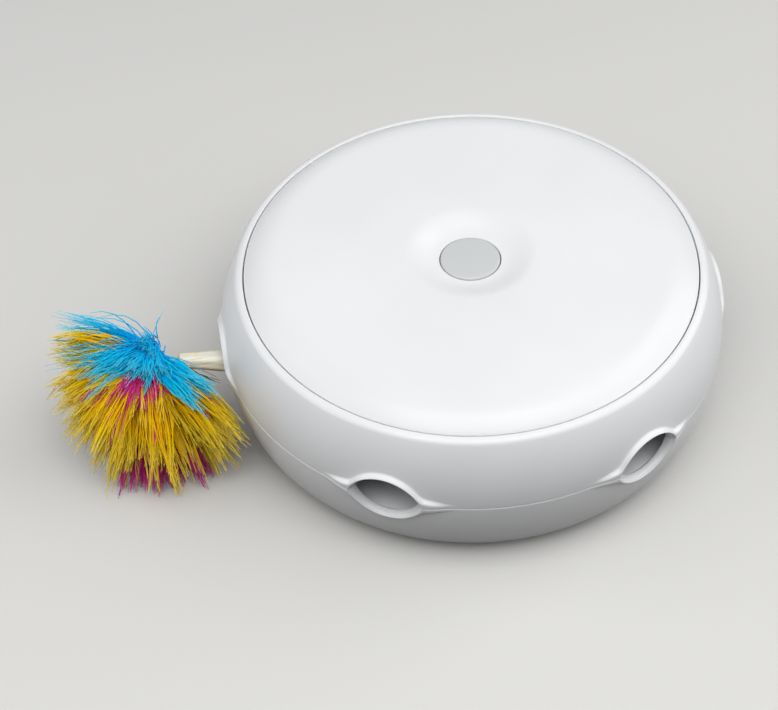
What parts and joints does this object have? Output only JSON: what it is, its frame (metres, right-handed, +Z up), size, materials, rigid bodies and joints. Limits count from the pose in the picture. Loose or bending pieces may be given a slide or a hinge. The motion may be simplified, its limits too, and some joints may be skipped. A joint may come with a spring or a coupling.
{
  "type": "automatic cat feather toy",
  "caption": "Round motorised cat toy: a smooth disc-shaped housing with eye-shaped side ports, a push button on top and a soft feather plume that reaches out and wags.",
  "frame": {"origin": "centre of the foot ring, on the floor, on the housing's vertical axis", "axes": "+Z up, the port that the feather comes out of is towards -X"},
  "size_m": [0.2758, 0.2, 0.0712],
  "materials": {
    "shell_white": "gloss",
    "button_grey": "satin",
    "foot_rubber": "matt",
    "inner_plastic": "matt",
    "gear_plastic": "satin",
    "steel": "satin",
    "motor_can": "satin",
    "cell_wrap": "gloss",
    "brass": "satin",
    "board_green": "satin",
    "chip_black": "matt",
    "switch_plastic": "satin",
    "sleeve_cream": "satin",
    "quill": "satin",
    "feather_blue": "soft",
    "feather_yellow": "soft",
    "feather_magenta": "soft"
  },
  "bodies": {
    "housing": {"lower_shell": "shell_white", "upper_shell": "shell_white", "top_cover": "shell_white", "foot_ring": "foot_rubber", "battery_door": "shell_white", "battery_door_screw": "steel", "battery_cells": "cell_wrap", "battery_contacts": "steel", "shell_screws": "steel", "port_apron": "shell_white", "chassis_plate": "inner_plastic", "chassis_screws": "steel", "pivot_bush": "brass", "slip_rings": "brass", "turn_motor": "motor_can", "idler_axle": "steel", "control_board": "board_green", "controller_chip": "chip_black", "board_screws": "steel", "push_switch": "switch_plastic"},
    "carousel": {"turntable": "inner_plastic", "turntable_gear": "gear_plastic", "turntable_screws": "steel", "pivot_spindle": "steel", "spindle_clip": "steel", "brushes": "brass", "guide_keepers": "inner_plastic", "keeper_screws": "steel", "reach_motor": "motor_can", "reach_gearbox": "brass", "motor_clamp": "inner_plastic", "clamp_screws": "steel"},
    "slider": {"slide_rack": "gear_plastic", "stem_socket": "inner_plastic", "stem_sleeve": "sleeve_cream", "quill_binding": "quill", "plume_blue": "feather_blue", "plume_yellow": "feather_yellow", "plume_magenta": "feather_magenta"},
    "idler": {"idler_gear": "gear_plastic"},
    "turn_pinion": {"turn_motor_shaft": "steel", "turn_motor_pinion": "gear_plastic"},
    "reach_pinion_set": {"reach_shaft": "steel", "reach_pinion": "gear_plastic"},
    "button": {"power_button": "button_grey", "switch_plunger": "inner_plastic"}
  },
  "joints": [
    {"name": "carousel_turn", "type": "hinge", "parent": "housing", "child": "carousel", "pos_m": [0, 0, 0.0282], "axis": [0, 0, 1], "range_deg": [-5, 1]},
    {"name": "feather_slide", "type": "slide", "parent": "carousel", "child": "slider", "axis": [-0.999, -0.0436, 0], "range_m": [-0.074, 0], "deforming": ["plume_blue", "plume_yellow", "plume_magenta"]},
    {"name": "idler_turn", "type": "hinge", "parent": "housing", "child": "idler", "pos_m": [-0.01806, -0.04962, 0.0185], "axis": [0, 0, 1], "range_deg": [-13, 53]},
    {"name": "turn_pinion_spin", "type": "hinge", "parent": "housing", "child": "turn_pinion", "pos_m": [-0.03685, -0.04278, 0.0185], "axis": [0, 0, 1], "range_deg": [-206, 46]},
    {"name": "reach_pinion_spin", "type": "hinge", "parent": "carousel", "child": "reach_pinion_set", "pos_m": [0.002, 0.00009, 0.041], "axis": [-0.0436, 0.999, 0], "range_deg": [-713, 6]},
    {"name": "button_press", "type": "slide", "parent": "housing", "child": "button", "axis": [0, 0, -1], "range_m": [0, 0.0015], "stiffness_N_per_m": 400, "springref_m": -0.001}
  ],
  "couplings": [
    {"joint": "idler_turn", "follows": "carousel_turn", "ratio": -10},
    {"joint": "turn_pinion_spin", "follows": "carousel_turn", "ratio": 40},
    {"joint": "reach_pinion_spin", "follows": "feather_slide", "rad_per_m": 166.67}
  ]
}
